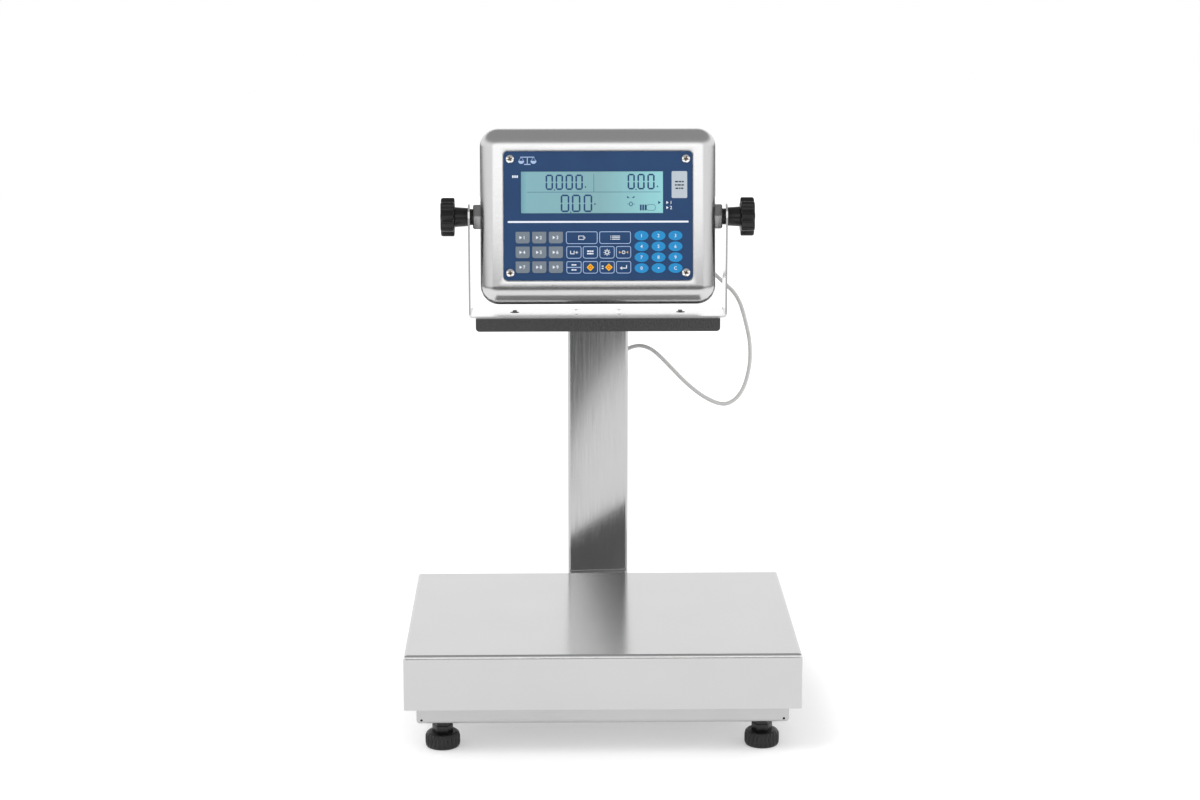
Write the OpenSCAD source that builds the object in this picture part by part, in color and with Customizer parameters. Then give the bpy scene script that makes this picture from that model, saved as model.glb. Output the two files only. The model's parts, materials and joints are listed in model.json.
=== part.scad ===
// Bench scale: a low weighing platform, a column behind it and a tilting
// keypad indicator held in a U-bracket by two star knobs.
// Frame: millimetres, +X to the operator's right, +Y away from the operator,
// +Z up, origin on the floor below the middle of the whole scale.

/* [Platform] */
// Width of the stainless weighing pan
pan_w = 400; // [390:1:410]
// Depth of the weighing pan
pan_d = 300; // [290:1:310]
// Height of the pan's top face above the floor
pan_top = 108; // [106:1:112]
// Height of the pan's skirt
skirt_h = 57; // [50:1:60]
// Thickness of the pan's sheet
pan_sheet = 1.5; // [1:0.5:2]
// Width of the base tray
tray_w = 376; // [370:1:380]
// Depth of the base tray
tray_d = 276; // [270:1:280]
// Height of the tray's underside above the floor
tray_z = 32; // [31:1:34]
// Height of the tray's walls
tray_h = 30; // [24:1:32]
// Thickness of the tray's sheet
tray_sheet = 2; // [1.5:0.5:2]

/* [Feet] */
// Distance of each foot from the middle, sideways
foot_x = 163; // [150:1:165]
// Distance of each foot from the middle, front to back
foot_y = 110; // [100:1:115]
// Diameter of a foot's ribbed pad
foot_dia = 35.5; // [30:0.5:40]
// Height of the ribbed pad
foot_h = 16; // [12:1:18]

/* [Column] */
// Width of the column tube
column_w = 66; // [60:1:70]
// Depth of the column tube
column_d = 40; // [36:1:44]
// Height of the column's top above the floor
column_top = 393; // [300:1:420]
// Width of the folded plate on top of the column
head_w = 266; // [240:1:270]
// Depth of the folded plate
head_d = 60; // [54:1:80]
// Height of the folded plate's rim
head_h = 14; // [10:0.1:16]

/* [Bracket] */
// Outer width of the U-bracket
bracket_w = 281; // [280:1:290]
// Depth of the U-bracket's strip
bracket_d = 50; // [40:1:54]
// Thickness of the U-bracket's strip
bracket_sheet = 2; // [2:0.5:3]
// Height of the tilt axis above the strip
axis_rise = 105.5; // [104:0.5:112]
// Height of the arms above the tilt axis
arm_over = 16; // [14:1:20]
// Distance of each hanging keyhole from the middle
keyhole_x = 91; // [80:1:100]

/* [Indicator] */
// Width of the indicator's case
case_w = 255; // [248:1:256]
// Height of the case
case_h = 190; // [182:1:190]
// Radius of the case's outer corners
case_r = 20; // [20:1:22]
// Radius that rolls the front face into the sides
case_roll = 19; // [10:1:19]
// Distance from the tilt axis forward to the front face
case_front = 33; // [30:1:36]
// Distance from the tilt axis back to the rear face
case_rear = 42; // [40:1:44]
// Backward tilt of the case at rest, in degrees
tilt = 10; // [0:1:20]
// Width of the keypad panel
panel_w = 204; // [200:1:206]
// Height of the keypad panel
panel_h = 139; // [136:1:142]
// Diameter of a knob's head
knob_dia = 42; // [36:1:46]

/* [Cable] */
// Diameter of the load cell cable
cable_dia = 4.4; // [4:0.1:6]

/* [Hidden] */
$fn = 48;
over = 1;              // overshoot of every cutting tool

// Places in the frame
axis_behind = 174;     // tilt axis and column, behind the platform's middle
strip_z = column_top + 2.5;
axis_z = strip_z + bracket_sheet + axis_rise;
screw_head_r = 4.5;
screw_head_h = 2.4;
lid_screw = [109, 76.5];
rear_reach = (case_rear + screw_head_h) * cos(tilt) + (lid_screw.y + screw_head_r) * sin(tilt);
platform_y = (pan_d / 2 - axis_behind - rear_reach) / 2;
axis_y = platform_y + axis_behind;

// Load cell and the cross above it
cell_size = [150, 40, 36];
pad_plate = [46, 60, 6];
cell_end = 42;         // middle of each fixing end of the load cell
cell_z = tray_z + tray_sheet + pad_plate.z;
cross_z = cell_z + cell_size.z + pad_plate.z;
cross_h = 16;
buffer_x = 150;
buffer_y = 105;

// Fasteners
bolt_r = 3;
bolt_len = 18;
flange_bolt_len = 9;
flange_bolt = [42, 6]; // from the middle of the column bracket's flange
flange_z = 48;
arm_z = 35;            // underside of the column bracket
bolt_head_h = 4;
bolt_head_r = 5.77;
csk_x = 23.5;
csk_y = 14;
stud_r = 6;
stud_top = 60;
collar_h = 8;
collar_r = 10.8;
nut_h = tray_z - foot_h - collar_h - 0.1;

// Case details
case_sheet = 1.5;
seam = 20;             // from the tilt axis back to the joint of the two shells
gasket_t = 1.5;
panel_recess = 1.5;
panel_t = 2.5;
panel_r = 5;
floor_t = 1.5;
face_y = -case_front + panel_recess;
seat_y = face_y + panel_t;
washer_t = 3;
boss_h = bracket_w / 2 - bracket_sheet - case_w / 2 - washer_t;
window = [153, 44.8];
window_at = [-6.5, 25.3];
panel_screw = [94.8, 61.2];
gland_at = [95, -42];
column_gland = [8, 338];
gland_len = 18;
gland_short = 14;

// Keys: name, place from the panel's middle, size, corner radii (upper and lower, none on an ellipse)
key_proud = 0.3;
key_t = 1.5;
key_gap = 0.35;
memory_x = [-81.4, -63.5, -45.6];
memory_z = [-23.2, -39.1, -55.1];
tool_x = [-26.2, -8.5, 9.5, 27.3];
tool_z = [-39.3, -55.4];
tool_names = [["memory_plus", "text", "setup", "tare"], ["split", "diamond", "mark", "total"]];
digit_x = [46.7, 65, 83.3];
digit_z = [-21.4, -33, -44.7, -56.4];
digit_names = [["1", "2", "3"], ["4", "5", "6"], ["7", "8", "9"], ["0", "point", "clear"]];
KEYS = concat(
    [for (r = [0:2], c = [0:2])
        [str("key_p", 3 * r + c + 1), [memory_x[c], memory_z[r]], [15.3, 12.6], [0.8, 2.8]]],
    [["key_price", [-17.7, -23.5], [34.1, 13.5], [2, 3]],
        ["key_lookup", [18.2, -23.5], [34.1, 13.5], [2, 3]]],
    [for (r = [0:1], c = [0:3])
        [str("key_", tool_names[r][c]), [tool_x[c], tool_z[r]], [16.3, 13.3], [2, 3]]],
    [for (r = [0:3], c = [0:2])
        [str("key_", digit_names[r][c]), [digit_x[c], digit_z[r]], [15.2, 10.5], []]]);

FEET = [for (name = ["left", "right"], end = ["front", "rear"])
    [str("foot_", end, "_", name), [name == "left" ? -foot_x : foot_x, end == "front" ? -foot_y : foot_y]]];

// Route of the free cable, from the indicator's gland round to the column's gland,
// measured from the column's middle at floor level
cable_route = [[95, 52, 451], [95.5, 61, 449.3], [99.5, 70, 447], [108, 75, 443.5],
    [118, 75, 438.5], [127.5, 71, 432], [136, 66.5, 425], [145.8, 64, 416], [154.7, 62, 407],
    [161.7, 60.5, 394], [167.2, 59, 375], [171.2, 58, 357], [172.6, 57, 340], [171.4, 55.5, 323],
    [166.6, 54, 304], [159.4, 53, 291.3], [151, 52, 284.6], [141.8, 51, 282.6],
    [129.7, 49.5, 286.5], [115.7, 48, 295], [100.2, 47, 308], [85.2, 46, 323.5], [71.3, 45.5, 338],
    [60.2, 46, 347], [49.2, 47, 350.5], [40, 49, 349], [32, 51.5, 345], [24, 53.5, 341.5],
    [16, 52.5, 339.2], [10, 48, 338.2], [8, 41, 338], [8, 34, 338]];

// ---- outlines ----

// Points of an arc about c, from angle a0 to a1
function arc(c, r, a0, a1, n = 6) =
    [for (i = [0:n]) let (a = a0 + (a1 - a0) * i / n) c + r * [cos(a), sin(a)]];

// Rectangle with rounded corners, centred; low is the radius of its two lower corners
function round_rect(w, h, r, n = 6, low = -1) =
    let (b = low < 0 ? r : low, x = w / 2, y = h / 2)
    concat(arc([x - r, y - r], r, 0, 90, n), arc([r - x, y - r], r, 90, 180, n),
        arc([b - x, b - y], b, 180, 270, n), arc([x - b, b - y], b, 270, 360, n));

// Flat-bottomed outline whose two upper corners are bent to radius r
function arch(w, h, r) = concat([[-w / 2, 0], [w / 2, 0]],
    arc([w / 2 - r, h - r], r, 0, 90), arc([r - w / 2, h - r], r, 90, 180));

// Ellipse
function oval(w, h, n = 24) = [for (i = [0:n - 1]) [w * cos(360 * i / n), h * sin(360 * i / n)] / 2];

// Circle of radius r whose edge dips by depth between its lobes
function lobed(r, depth, lobes, n) = [for (i = [0:lobes * n - 1]) let (a = 360 * i / (lobes * n))
    (r - depth * (1 - cos(lobes * a)) / 2) * [cos(a), sin(a)]];

// Outline of a key, an ellipse where it has no corner radii; r holds the upper and the lower radius
function key_outline(size, r, grow = 0) = len(r) == 0 ? oval(size.x + grow, size.y + grow)
    : round_rect(size.x + grow, size.y + grow, r[0] + grow / 2, 4, r[1] + grow / 2);

// ---- solids from rings of points ----

// Closed skin over rings that have the same number of points
module loft(rings) {
    n = len(rings[0]);
    last = len(rings) - 1;
    sides = [for (i = [0:last - 1], j = [0:n - 1])
        [i * n + j, i * n + (j + 1) % n, (i + 1) * n + (j + 1) % n, (i + 1) * n + j]];
    caps = [[for (j = [n - 1:-1:0]) j], [for (j = [0:n - 1]) last * n + j]];
    polyhedron([for (r = rings) each r], concat(sides, caps), convexity = 4);
}

// Rounded rectangle standing in the XZ plane at depth y
function upright(w, h, r, y) = [for (p = round_rect(w, h, r)) [p.x, y, p.y]];

// Case half from y0 back to y1, rolled over by radius roll at its closed end
module rolled_case(w, h, r, roll, y0, y1) {
    steps = 6;
    way = sign(y1 - y0);
    rolled = [for (i = [0:steps]) let (a = 90 * i / steps, inset = roll * (1 - sin(a)))
        upright(w - 2 * inset, h - 2 * inset, r - inset, y0 + way * roll * (1 - cos(a)))];
    rings = concat(rolled, [upright(w, h, r, y1)]);
    loft(way > 0 ? rings : [for (i = [len(rings) - 1:-1:0]) rings[i]]);
}

// Curve through the route's points, with one point added between each two
function between(a, b, c, d) = (9 * (b + c) - (a + d)) / 16;
function smooth(p) = let (n = len(p) - 1)
    [for (i = [0:n], half = [0:1]) if (i < n || half == 0) half == 0 ? p[i]
        : between(p[max(i - 1, 0)], p[i], p[i + 1], p[min(i + 2, n)])];
function unit(v) = v / norm(v);
function tangents(p) = let (n = len(p) - 1)
    [for (i = [0:n]) unit(p[min(i + 1, n)] - p[max(i - 1, 0)])];
// A side direction at each point, carried along without twist
function carried(t, side, i = 0) = i == len(t) ? []
    : let (s = unit(side - (side * t[i]) * t[i])) concat([s], carried(t, s, i + 1));

// Tube of radius r along points p
module tube_along(p, r, n = 8) {
    t = tangents(p);
    s = carried(t, [0, 0, 1]);
    loft([for (i = [0:len(p) - 1]) let (u = s[i], v = cross(t[i], u))
        [for (j = [0:n - 1]) p[i] + r * (u * cos(360 * j / n) - v * sin(360 * j / n))]]);
}

// ---- places ----

module on_platform() { translate([0, platform_y, 0]) children(); }
module at_axis() { translate([0, axis_y, axis_z]) children(); }
module in_case() { at_axis() rotate([-tilt, 0, 0]) children(); }

// Plate cut to an outline in the XZ plane, from depth y to y + t
module upright_plate(points, y, t) {
    translate([0, y + t, 0]) rotate([90, 0, 0]) linear_extrude(t) polygon(points);
}

// Children turned so that their +Z points away from the operator
module facing_back() { rotate([-90, 0, 0]) children(); }
module facing_front() { rotate([90, 0, 0]) children(); }

module four(x, y) { for (sx = [-1, 1], sy = [-1, 1]) translate([sx * x, sy * y, 0]) children(); }

// ---- fasteners, head up, with the underside of the head at z 0 ----

module hex_bolt(length = bolt_len) {
    cylinder(r = bolt_head_r, h = bolt_head_h, $fn = 6);
    translate([0, 0, -length]) cylinder(r = bolt_r, h = length + 0.5);
}

module pan_screw() {
    shank_r = 1.95;
    edge = 1.8;
    dome = concat([[0, 0], [screw_head_r, 0]],
        arc([screw_head_r - edge, screw_head_h - edge], edge, 0, 90), [[0, screw_head_h]]);
    difference() {
        rotate_extrude() polygon(dome);
        for (turn = [0, 90]) rotate([0, 0, turn])
            translate([-2.3, -0.5, screw_head_h - 1.2]) cube([4.6, 1, 2]);
    }
    translate([0, 0, -8]) cylinder(r = shank_r, h = 8.3);
}

module countersunk_screw() {
    shank_r = 2.45;
    cone_h = 1.8;
    length = 9;
    difference() {
        union() {
            translate([0, 0, -cone_h]) cylinder(r1 = shank_r, r2 = 4.5, h = cone_h);
            translate([0, 0, -length]) cylinder(r = shank_r, h = length - cone_h + 0.3);
        }
        translate([0, 0, -1.4]) cylinder(r = 1.75, h = 3, $fn = 6);
    }
}

// ---- platform ----

// Block whose four upper edges are bent to one radius and meet in mitres
module folded_block(w, d, h, bend) {
    intersection() {
        rotate([90, 0, 0]) linear_extrude(d + 2 * over, center = true) polygon(arch(w, h, bend));
        translate([0, 0, -over]) rotate([90, 0, 90])
            linear_extrude(w + 2 * over, center = true) polygon(arch(d, h + over, bend));
    }
}

module platter() color("silver") on_platform() {
    bend = 4;
    corner_cut = 2;
    translate([0, 0, pan_top - skirt_h]) difference() {
        folded_block(pan_w, pan_d, skirt_h, bend);
        translate([0, 0, -over]) folded_block(pan_w - 2 * pan_sheet, pan_d - 2 * pan_sheet,
            skirt_h - pan_sheet + over, bend - pan_sheet);
        four(pan_w / 2, pan_d / 2) rotate([0, 0, 45]) rotate([45, 0, 0])
            cube([6 * corner_cut, corner_cut, corner_cut], center = true);
        four(pan_w / 2, pan_d / 2) rotate([0, 0, -45]) rotate([45, 0, 0])
            cube([6 * corner_cut, corner_cut, corner_cut], center = true);
    }
}

module base_tray() color("gainsboro") on_platform() {
    bend = 5;
    weld_nut_h = 10;
    difference() {
        union() {
            translate([0, 0, tray_z + tray_h]) mirror([0, 0, 1]) difference() {
                folded_block(tray_w, tray_d, tray_h, bend);
                translate([0, 0, -over]) folded_block(tray_w - 2 * tray_sheet, tray_d - 2 * tray_sheet,
                    tray_h - tray_sheet + over, bend - tray_sheet);
            }
            translate([-cell_end, 0, tray_z + tray_sheet + pad_plate.z / 2 - 0.5])
                cube([pad_plate.x, pad_plate.y, pad_plate.z + 1], center = true);
            four(foot_x, foot_y) translate([0, 0, tray_z + 1]) cylinder(r = 10, h = weld_nut_h);
        }
        four(foot_x, foot_y) translate([0, 0, tray_z - over]) cylinder(r = stud_r + 0.05, h = 20);
        for (x = [-15, 15]) translate([x - cell_end, 0, tray_z - over]) cylinder(r = bolt_r + 0.2, h = 20);
        // bolt holes for the column bracket, in the rear wall
        for (sx = [-1, 1], sz = [-1, 1])
            translate([sx * flange_bolt.x, tray_d / 2 - 10, flange_z + sz * flange_bolt.y])
                facing_back() cylinder(r = bolt_r + 0.2, h = 20);
        // corner reliefs at the ends of the folds, in the front and rear walls
        for (sx = [-1, 1]) translate([sx * (tray_w / 2 - 5), 0, tray_z + 4.5])
            facing_back() cylinder(r = 1.3, h = tray_d + 2, center = true);
        // drain holes
        four(80, 90) translate([0, 0, tray_z - over]) cylinder(r = 5, h = 5);
    }
}

module load_cell() color("lightgray") on_platform() {
    bore_r = 12;
    bore_x = 17;
    translate([0, 0, cell_z]) difference() {
        translate([-cell_size.x / 2, -cell_size.y / 2, 0]) cube(cell_size);
        for (sx = [-1, 1]) translate([sx * bore_x, 0, cell_size.z / 2])
            facing_back() cylinder(r = bore_r, h = cell_size.y + 2, center = true);
        translate([0, 0, cell_size.z / 2]) cube([2 * bore_x, cell_size.y + 2, 8], center = true);
        for (x = [-15, 15]) {
            translate([x - cell_end, 0, -over]) cylinder(r = bolt_r + 0.05, h = 14);
            translate([x + cell_end, 0, cell_size.z - 13]) cylinder(r = bolt_r + 0.05, h = 14);
        }
    }
}

module platter_support() color("darkgray") on_platform() {
    arm_w = 24;
    counterbore = 12;
    reach = norm([buffer_x, buffer_y]);
    turn = atan2(buffer_y, buffer_x);
    difference() {
        union() {
            translate([0, 0, cross_z]) linear_extrude(cross_h) {
                square([160, 70], center = true);
                for (s = [-1, 1]) rotate(s * turn) square([2 * reach, arm_w], center = true);
                four(buffer_x, buffer_y) circle(r = 15);
            }
            translate([cell_end - pad_plate.x / 2, -pad_plate.y / 2, cross_z - pad_plate.z])
                cube([pad_plate.x, pad_plate.y, pad_plate.z + 1]);
        }
        for (x = [-15, 15]) translate([x + cell_end, 0, 0]) {
            translate([0, 0, cross_z - 10]) cylinder(r = bolt_r + 0.2, h = 40);
            translate([0, 0, cross_z + cross_h - counterbore]) cylinder(r = 7, h = 20);
        }
    }
}

module support_buffers() color("dimgray") on_platform() {
    height = pan_top - pan_sheet - cross_z - cross_h;
    four(buffer_x, buffer_y) translate([0, 0, cross_z + cross_h]) rotate_extrude()
        polygon([[0, 0], [12, 0], [12, height - 2], [10, height], [0, height]]);
}

module hex_bolts() color("silver") {
    on_platform() {
        for (x = [-15, 15]) {
            translate([x - cell_end, 0, tray_z]) mirror([0, 0, 1]) hex_bolt();
            translate([x + cell_end, 0, cross_z + 4]) hex_bolt();
        }
        for (sx = [-1, 1], sz = [-1, 1])
            translate([sx * flange_bolt.x, tray_d / 2 - tray_sheet, flange_z + sz * flange_bolt.y])
                facing_front() hex_bolt(flange_bolt_len);
    }
    for (z = [66, 92]) translate([0, axis_y + column_d / 2, z]) facing_back() hex_bolt();
}

// ---- feet ----

module foot(place) color("dimgray") on_platform() translate([place.x, place.y, 0]) {
    edge = 3;
    r = foot_dia / 2;
    intersection() {
        linear_extrude(foot_h) polygon(lobed(r, 0.9, 24, 4));
        rotate_extrude() polygon(concat([[0, 0], [r - 1, 0], [r + 0.1, 1.1]],
            arc([r - edge, foot_h - edge], edge + 0.1, 0, 80), [[0, foot_h]]));
    }
    translate([0, 0, foot_h - 0.5]) cylinder(r = collar_r, h = collar_h + 0.5, $fn = 6);
    translate([0, 0, foot_h]) cylinder(r = stud_r, h = stud_top - foot_h);
}

module lock_nuts() color("dimgray") on_platform() {
    four(foot_x, foot_y) translate([0, 0, foot_h + collar_h]) difference() {
        cylinder(r = 10.4, h = nut_h, $fn = 6);
        translate([0, 0, -over]) cylinder(r = stud_r + 0.05, h = nut_h + 2 * over);
    }
}

// ---- column ----

module column_bracket() color("gainsboro") {
    wall = 4;
    spigot = [column_w - 4.6, column_d - 4.6];
    arm_h = pan_top - skirt_h - 3 - arm_z; // stays below the pan's skirt
    difference() {
        union() {
            on_platform() translate([-52, tray_d / 2, arm_z]) cube([104, 6, 26]);
            on_platform() translate([-28, tray_d / 2 + 5, arm_z]) cube([56, 14, arm_h]);
            translate([0, axis_y, 34]) linear_extrude(76) polygon(round_rect(spigot.x, spigot.y, 2, 3));
        }
        translate([0, axis_y, 38]) linear_extrude(80)
            polygon(round_rect(spigot.x - 2 * wall, spigot.y - 2 * wall, 1, 2));
        for (sx = [-1, 1], sz = [-1, 1])
            on_platform() translate([sx * flange_bolt.x, tray_d / 2 - 2, flange_z + sz * flange_bolt.y])
                facing_back() cylinder(r = bolt_r + 0.05, h = 10);
        for (z = [66, 92]) translate([0, axis_y, z]) facing_back() cylinder(r = bolt_r + 0.05, h = 30);
    }
}

module column() color("silver") {
    wall = 2;
    end_plate = 5;
    bottom = 34;
    difference() {
        translate([0, axis_y, bottom]) linear_extrude(column_top - bottom)
            polygon(round_rect(column_w, column_d, 3.5));
        translate([0, axis_y, bottom - over]) linear_extrude(column_top - bottom - end_plate + over)
            polygon(round_rect(column_w - 2 * wall, column_d - 2 * wall, 1.5));
        // notch for the bracket's arm
        translate([-28.5, axis_y - column_d / 2 - over, bottom - over]) cube([57, 5, 17]);
        for (z = [66, 92]) translate([0, axis_y, z]) facing_back() cylinder(r = bolt_r + 0.2, h = 40);
        translate([0, axis_y, column_top - 10]) four(csk_x, csk_y) cylinder(r = 2.5, h = 20);
        translate([column_gland.x, axis_y, column_gland.y]) facing_back() cylinder(r = 6.1, h = 40);
    }
}

module head_plate() color("dimgray") {
    sheet = 2.5;
    rim_z = strip_z - head_h;
    corner = 4;
    rim = concat(arc([corner - head_w / 2, corner], corner, 180, 270),
        arc([head_w / 2 - corner, corner], corner, 270, 360),
        [[head_w / 2, head_h], [-head_w / 2, head_h]]);
    translate([0, axis_y, rim_z]) difference() {
        rotate([90, 0, 0]) linear_extrude(head_d, center = true) polygon(rim);
        translate([-head_w / 2 + sheet, -head_d / 2 + sheet, -over])
            cube([head_w - 2 * sheet, head_d - 2 * sheet, head_h - sheet + over]);
        four(csk_x, csk_y) cylinder(r = 2.6, h = 30);
    }
}

module u_bracket() color("whitesmoke") {
    bend = 4;
    half = bracket_w / 2;
    rise = bracket_sheet + axis_rise + arm_over;
    arm_corner = 14;
    slot = [4.5, 12];
    side_outline = concat([[-bracket_d / 2, -over], [bracket_d / 2, -over]],
        arc([bracket_d / 2 - arm_corner, rise - arm_corner], arm_corner, 0, 90),
        arc([arm_corner - bracket_d / 2, rise - arm_corner], arm_corner, 90, 180));
    inner = bend - bracket_sheet;
    strip = concat(arc([bend - half, bend], bend, 180, 270), arc([half - bend, bend], bend, 270, 360),
        [[half, rise], [half - bracket_sheet, rise]], arc([half - bend, bend], inner, 360, 270),
        arc([bend - half, bend], inner, 270, 180), [[bracket_sheet - half, rise], [-half, rise]]);
    translate([0, axis_y, strip_z]) difference() {
        intersection() {
            rotate([90, 0, 0]) linear_extrude(bracket_d + 2, center = true) polygon(strip);
            rotate([90, 0, 90]) linear_extrude(bracket_w + 2, center = true) polygon(side_outline);
        }
        translate([0, 0, bracket_sheet + axis_rise]) rotate([0, 90, 0])
            cylinder(r = 4.25, h = bracket_w + 2, center = true);
        for (sx = [-1, 1]) translate([sx * keyhole_x, 0, -over]) {
            cylinder(r = 5, h = 5);
            translate([-slot.x / 2, 0, 0]) cube([slot.x, slot.y, 5]);
            translate([0, slot.y, 0]) cylinder(r = slot.x / 2, h = 5);
        }
        four(csk_x, csk_y) {
            translate([0, 0, -over]) cylinder(r = 2.6, h = 5);
            translate([0, 0, bracket_sheet - 1.95]) cylinder(r1 = 2.6, r2 = 4.75, h = 2);
        }
    }
}

module bracket_screws() color("lightgray")
    translate([0, axis_y, strip_z + bracket_sheet - 0.1]) four(csk_x, csk_y) countersunk_screw();

// ---- indicator ----

module front_shell() color("silver") in_case() {
    s = case_sheet;
    side_x = case_w / 2;
    post_start = s - 0.1 - case_front; // inside the front wall
    post_end = case_rear - case_sheet - 0.1;
    bore_r = 4;
    difference() {
        union() {
            difference() {
                rolled_case(case_w, case_h, case_r, case_roll, -case_front, seam);
                rolled_case(case_w - 2 * s, case_h - 2 * s, case_r - s, case_roll - s,
                    s - case_front, seam + over);
            }
            // tray that holds the keypad panel below the front face
            upright_plate(round_rect(panel_w + 5, panel_h + 5, panel_r + 2), 0.2 - case_front,
                seat_y + floor_t + case_front - 0.2);
            // posts for the rear screws, board and panel screws
            for (sx = [-1, 1], sz = [-1, 1]) {
                translate([sx * lid_screw.x, post_start, sz * lid_screw.y])
                    facing_back() cylinder(r = 5, h = post_end - post_start);
                translate([sx * panel_screw.x, seat_y, sz * panel_screw.y])
                    facing_back() cylinder(r = 4, h = 8);
            }
            for (sx = [-1, 1], z = [-48, 60])
                translate([sx * 78, seat_y, z]) facing_back() cylinder(r = 3, h = 21);
            // welded hexagon bosses that the knobs screw into
            for (sx = [-1, 1]) translate([sx * (side_x - s), 0, 0]) rotate([0, sx * 90, 0])
                intersection() {
                    cylinder(r = 15.2, h = boss_h + s, $fn = 6);
                    cylinder(r1 = 15.2 + boss_h, r2 = 13.7, h = boss_h + s);
                }
        }
        upright_plate(round_rect(panel_w + 0.6, panel_h + 0.6, panel_r + 0.3), -case_front - over,
            seat_y + case_front + over);
        // windows for the display and the keypad's tail
        translate([window_at.x, 0, window_at.y]) cube([window.x + 3, 80, window.y + 3], center = true);
        translate([0, seat_y, -5]) cube([24, 6, 4], center = true);
        rotate([0, 90, 0]) cylinder(r = bore_r, h = 300, center = true);
        for (sx = [-1, 1], sz = [-1, 1]) {
            translate([sx * lid_screw.x, post_end - 9, sz * lid_screw.y])
                facing_back() cylinder(r = 2, h = 20);
            translate([sx * panel_screw.x, seat_y - over, sz * panel_screw.y])
                facing_back() cylinder(r = 2, h = 20);
        }
        // drain slot near the lower left corner
        translate([-89.5, -case_front, 6 - case_h / 2]) cube([6.5, 16, 1.2], center = true);
    }
}

module gasket() color("black") in_case() difference() {
    upright_plate(round_rect(case_w - 0.4, case_h - 0.4, case_r), seam, gasket_t);
    upright_plate(round_rect(case_w - 9, case_h - 9, case_r - 4.3), seam - over, gasket_t + 2 * over);
}

module rear_shell() color("silver") in_case() {
    s = case_sheet;
    start = seam + gasket_t;
    roll = 9;
    difference() {
        rolled_case(case_w, case_h, case_r, roll, case_rear, start);
        rolled_case(case_w - 2 * s, case_h - 2 * s, case_r - s, roll - s, case_rear - s, start - over);
        for (sx = [-1, 1], sz = [-1, 1])
            translate([sx * lid_screw.x, 30, sz * lid_screw.y]) facing_back() cylinder(r = 2.2, h = 20);
        translate([gland_at.x, 30, gland_at.y]) facing_back() cylinder(r = 6.1, h = 20);
    }
}

module overlay() color("steelblue") in_case() difference() {
    upright_plate(round_rect(panel_w, panel_h, panel_r), face_y, panel_t);
    translate([window_at.x, face_y + panel_t / 2, window_at.y])
        cube([window.x + 0.4, panel_t + 2, window.y + 0.4], center = true);
    for (k = KEYS) translate([k[1].x, 0, k[1].y])
        upright_plate(key_outline(k[2], k[3], 2 * key_gap), face_y - over, panel_t + 2 * over);
    for (sx = [-1, 1], sz = [-1, 1]) translate([sx * panel_screw.x, face_y - over, sz * panel_screw.y])
        facing_back() cylinder(r = 2.2, h = panel_t + 2 * over);
}

module key(k) color(len(k[3]) == 0 ? "dodgerblue" : "slategray") in_case()
    translate([k[1].x, 0, k[1].y]) upright_plate(key_outline(k[2], k[3]), face_y - key_proud, key_t);

module pan_screws() color("silver") in_case() for (sx = [-1, 1], sz = [-1, 1]) {
    translate([sx * panel_screw.x, face_y, sz * panel_screw.y]) facing_front() pan_screw();
    translate([sx * lid_screw.x, case_rear, sz * lid_screw.y]) facing_back() pan_screw();
}

module lcd_module() color("lightblue") in_case() translate([window_at.x, 0, window_at.y]) {
    glass_y = face_y + 0.3;
    back_y = seat_y + floor_t;
    translate([-window.x / 2, glass_y, -window.y / 2]) cube([window.x, back_y - glass_y + 1, window.y]);
    translate([-80, back_y, -27]) cube([160, 8, 54]);
}

module main_board() color("darkgreen") in_case() {
    board_y = seat_y + 21;
    translate([-86, board_y, -54]) cube([172, 1.6, 120]);
    // connectors, transformer and battery pack
    translate([40, board_y + 1, -48]) cube([36, 12, 14]);
    translate([-76, board_y + 1, -46]) cube([44, 26, 36]);
    translate([-50, board_y + 1, 10]) cube([110, 24, 40]);
}

module pivot_washers() color("black") at_axis() for (sx = [-1, 1])
    translate([sx * (case_w / 2 + boss_h), 0, 0]) rotate([0, sx * 90, 0]) difference() {
        cylinder(r = 8.75, h = washer_t);
        translate([0, 0, -over]) cylinder(r = 4.25, h = washer_t + 2 * over);
    }

// Star knob with its stud; side is -1 on the left and 1 on the right
module knob(side) color("dimgray") in_case()
    translate([side * (bracket_w / 2 + 0.1), 0, 0]) rotate([0, side * 90, 0]) {
        hub_h = 15;
        head_t = 15;
        r = knob_dia / 2;
        edge = 2.5;
        cylinder(r1 = 10, r2 = 11, h = hub_h + 0.5);
        translate([0, 0, hub_h]) intersection() {
            linear_extrude(head_t) polygon(lobed(r, 4, 8, 10));
            rotate_extrude() polygon(concat([[0, 0], [r - edge, 0]], arc([r - edge, edge], edge, -90, 0),
                arc([r - edge, head_t - edge], edge, 0, 90), [[0, head_t]]));
        }
        translate([0, 0, -19]) cylinder(r = 3.95, h = 20);
    }
module knob_left() knob(-1);
module knob_right() knob(1);

// ---- cable ----

// Cable gland of the given length, standing on the plane z 0, with its thread below
module gland(length) {
    translate([0, 0, -8]) cylinder(r = 6, h = 8.5);
    cylinder(r = 9.2, h = 4, $fn = 6);
    rotate_extrude() polygon(concat([[0, 3.5], [7.6, 3.5], [7.6, length - 5]],
        arc([4.6, length - 5], 3, 0, 60), [[3, length], [0, length]]));
}
module indicator_gland() color("gray") in_case()
    translate([gland_at.x, case_rear, gland_at.y]) facing_back() gland(gland_len);
module column_gland() color("gray")
    translate([column_gland.x, axis_y + column_d / 2, column_gland.y]) facing_back() gland(gland_short);
module cable() color("lightgray")
    translate([0, axis_y, 0]) tube_along(smooth(cable_route), cable_dia / 2);

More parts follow.
